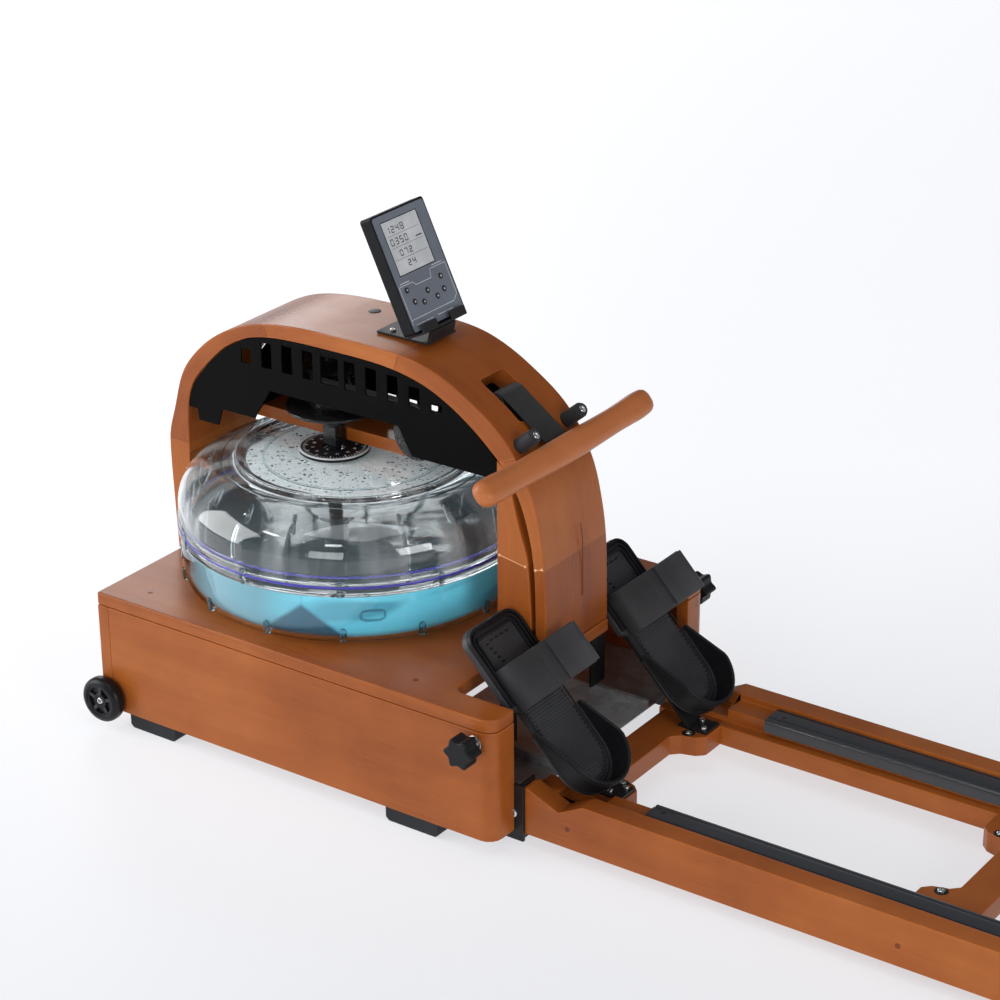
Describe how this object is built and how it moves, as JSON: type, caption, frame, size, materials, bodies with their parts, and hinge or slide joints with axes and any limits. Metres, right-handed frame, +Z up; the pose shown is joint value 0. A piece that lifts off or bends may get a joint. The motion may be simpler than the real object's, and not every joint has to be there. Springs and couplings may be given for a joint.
{
  "type": "water rowing machine",
  "caption": "Wooden water rowing machine: clear round water tank under an arch on a box, paddle wheel, strap and wooden handle, console, footplates, low rails and sliding seat.",
  "frame": {"origin": "middle of the floor footprint of the whole machine, on the floor", "axes": "+X from the tank end to the seat end, +Y to the rower's right (the rower faces the tank), +Z up"},
  "size_m": [2.09, 0.576, 0.7237],
  "materials": {
    "wood_stain": "reddish-brown stain, semi-gloss",
    "wood_arch": "orange-brown stain, semi-gloss",
    "clear_shell": "clear moulded polycarbonate",
    "gasket_blue": "smooth",
    "white_plastic": "smooth",
    "black_plastic": "fine moulded texture",
    "black_steel": "satin powder coat",
    "black_rubber": "matt",
    "zinc_sheet": "satin zinc",
    "track_plastic": "extruded, fine lines",
    "webbing": "woven",
    "lcd": "clear window over a grey display",
    "seat_cover": "fine grain",
    "wheel_tyre": "moulded"
  },
  "bodies": {
    "machine_frame": {"deck_board": "wood_stain", "side_board_left": "wood_stain", "side_board_right": "wood_stain", "end_board": "wood_stain", "base_tray": "zinc_sheet", "base_skid_front": "black_rubber", "base_skid_rear": "black_rubber", "arch_hoop": "wood_arch", "leg_post": "wood_arch", "tank_lower": "clear_shell", "tank_gasket": "gasket_blue", "tank_upper": "clear_shell", "lid_dial": "black_plastic", "top_bearing": "black_steel", "slotted_plate": "black_steel", "bridge_board": "wood_stain", "peg_left": "black_rubber", "peg_right": "black_rubber", "console_stand": "black_steel", "console_body": "black_plastic", "lcd_window": "lcd", "toe_plate_left": "black_plastic", "toe_plate_right": "black_plastic", "foot_strap_left": "webbing", "foot_strap_right": "webbing", "foot_bracket_left": "black_steel", "foot_bracket_right": "black_steel", "rail_left": "wood_stain", "rail_right": "wood_stain", "track_left": "track_plastic", "track_right": "track_plastic", "joint_plate_left": "black_steel", "joint_plate_right": "black_steel", "cross_front": "wood_stain", "cross_mid": "wood_stain", "rear_stand": "black_rubber"},
    "paddle_wheel": {"impeller": "white_plastic", "drive_shaft": "black_steel"},
    "drum": {"strap_drum": "black_plastic"},
    "pulley": {"return_pulley": "black_plastic"},
    "roller": {"guide_roller": "black_plastic"},
    "handle": {"handle_bar": "wood_arch", "pull_strap": "webbing"},
    "heel_left": {"heel_cup_left": "black_plastic"},
    "heel_right": {"heel_cup_right": "black_plastic"},
    "seat": {"seat_pad": "seat_cover", "seat_carriage": "black_steel"},
    "front_wheelset": {"seat_wheels_front": "wheel_tyre"},
    "rear_wheelset": {"seat_wheels_rear": "wheel_tyre"},
    "transport_wheel_left": {"wheel_left": "wheel_tyre"},
    "transport_wheel_right": {"wheel_right": "wheel_tyre"},
    "clamp_knob_left": {"knob_left": "black_plastic"},
    "clamp_knob_right": {"knob_right": "black_plastic"},
    "key_1_button": {"key_1": "black_rubber"},
    "key_2_button": {"key_2": "black_rubber"},
    "key_3_button": {"key_3": "black_rubber"},
    "key_4_button": {"key_4": "black_rubber"},
    "key_5_button": {"key_5": "black_rubber"},
    "key_6_button": {"key_6": "black_rubber"},
    "key_7_button": {"key_7": "black_rubber"}
  },
  "joints": [
    {"name": "handle_pull", "type": "slide", "parent": "machine_frame", "child": "handle", "axis": [1, 0, 0], "range_m": [0, 1.1], "stiffness_N_per_m": 20, "springref_m": -0.8, "deforming": ["pull_strap"]},
    {"name": "drum_spin", "type": "hinge", "parent": "machine_frame", "child": "drum", "pos_m": [-0.812, 0, 0.46], "axis": [0, 0, 1], "continuous": true},
    {"name": "guide_roller_spin", "type": "hinge", "parent": "machine_frame", "child": "roller", "pos_m": [-0.53, 0, 0.503], "axis": [0, 1, 0], "continuous": true},
    {"name": "return_pulley_spin", "type": "hinge", "parent": "machine_frame", "child": "pulley", "pos_m": [-0.681, 0.012, 0.412], "axis": [0, 1, 0], "continuous": true},
    {"name": "paddle_spin", "type": "hinge", "parent": "machine_frame", "child": "paddle_wheel", "pos_m": [-0.812, 0, 0.23], "axis": [0, 0, 1], "continuous": true},
    {"name": "seat_slide", "type": "slide", "parent": "machine_frame", "child": "seat", "axis": [1, 0, 0], "range_m": [-0.68, 0.25]},
    {"name": "front_wheelset_roll", "type": "hinge", "parent": "seat", "child": "front_wheelset", "pos_m": [0.534, 0, 0.1003], "axis": [0, 1, 0], "continuous": true},
    {"name": "rear_wheelset_roll", "type": "hinge", "parent": "seat", "child": "rear_wheelset", "pos_m": [0.694, 0, 0.1003], "axis": [0, 1, 0], "continuous": true},
    {"name": "heel_slide_left", "type": "slide", "parent": "machine_frame", "child": "heel_left", "axis": [-0.6871, 0, 0.7266], "range_m": [0, 0.024]},
    {"name": "transport_wheel_left_spin", "type": "hinge", "parent": "machine_frame", "child": "transport_wheel_left", "pos_m": [-1.013, -0.264, 0.042], "axis": [0, 1, 0], "continuous": true},
    {"name": "clamp_knob_left_turn", "type": "hinge", "parent": "machine_frame", "child": "clamp_knob_left", "pos_m": [-0.406, -0.264, 0.159], "axis": [0, 1, 0], "continuous": true},
    {"name": "heel_slide_right", "type": "slide", "parent": "machine_frame", "child": "heel_right", "axis": [-0.6871, 0, 0.7266], "range_m": [0, 0.024]},
    {"name": "transport_wheel_right_spin", "type": "hinge", "parent": "machine_frame", "child": "transport_wheel_right", "pos_m": [-1.013, 0.264, 0.042], "axis": [0, 1, 0], "continuous": true},
    {"name": "clamp_knob_right_turn", "type": "hinge", "parent": "machine_frame", "child": "clamp_knob_right", "pos_m": [-0.406, 0.264, 0.159], "axis": [0, 1, 0], "continuous": true},
    {"name": "key_1_press", "type": "slide", "parent": "machine_frame", "child": "key_1_button", "axis": [-0.9026, 0, -0.4305], "range_m": [0, 0.001], "stiffness_N_per_m": 800, "springref_m": -0.0004},
    {"name": "key_2_press", "type": "slide", "parent": "machine_frame", "child": "key_2_button", "axis": [-0.9026, 0, -0.4305], "range_m": [0, 0.001], "stiffness_N_per_m": 800, "springref_m": -0.0004},
    {"name": "key_3_press", "type": "slide", "parent": "machine_frame", "child": "key_3_button", "axis": [-0.9026, 0, -0.4305], "range_m": [0, 0.001], "stiffness_N_per_m": 800, "springref_m": -0.0004},
    {"name": "key_4_press", "type": "slide", "parent": "machine_frame", "child": "key_4_button", "axis": [-0.9026, 0, -0.4305], "range_m": [0, 0.001], "stiffness_N_per_m": 800, "springref_m": -0.0004},
    {"name": "key_5_press", "type": "slide", "parent": "machine_frame", "child": "key_5_button", "axis": [-0.9026, 0, -0.4305], "range_m": [0, 0.001], "stiffness_N_per_m": 800, "springref_m": -0.0004},
    {"name": "key_6_press", "type": "slide", "parent": "machine_frame", "child": "key_6_button", "axis": [-0.9026, 0, -0.4305], "range_m": [0, 0.001], "stiffness_N_per_m": 800, "springref_m": -0.0004},
    {"name": "key_7_press", "type": "slide", "parent": "machine_frame", "child": "key_7_button", "axis": [-0.9026, 0, -0.4305], "range_m": [0, 0.001], "stiffness_N_per_m": 800, "springref_m": -0.0004}
  ],
  "couplings": [
    {"joint": "drum_spin", "follows": "handle_pull", "rad_per_m": 31.25},
    {"joint": "guide_roller_spin", "follows": "handle_pull", "rad_per_m": 84.7},
    {"joint": "return_pulley_spin", "follows": "handle_pull", "rad_per_m": -74},
    {"joint": "front_wheelset_roll", "follows": "seat_slide", "rad_per_m": 50},
    {"joint": "rear_wheelset_roll", "follows": "seat_slide", "rad_per_m": 50}
  ]
}
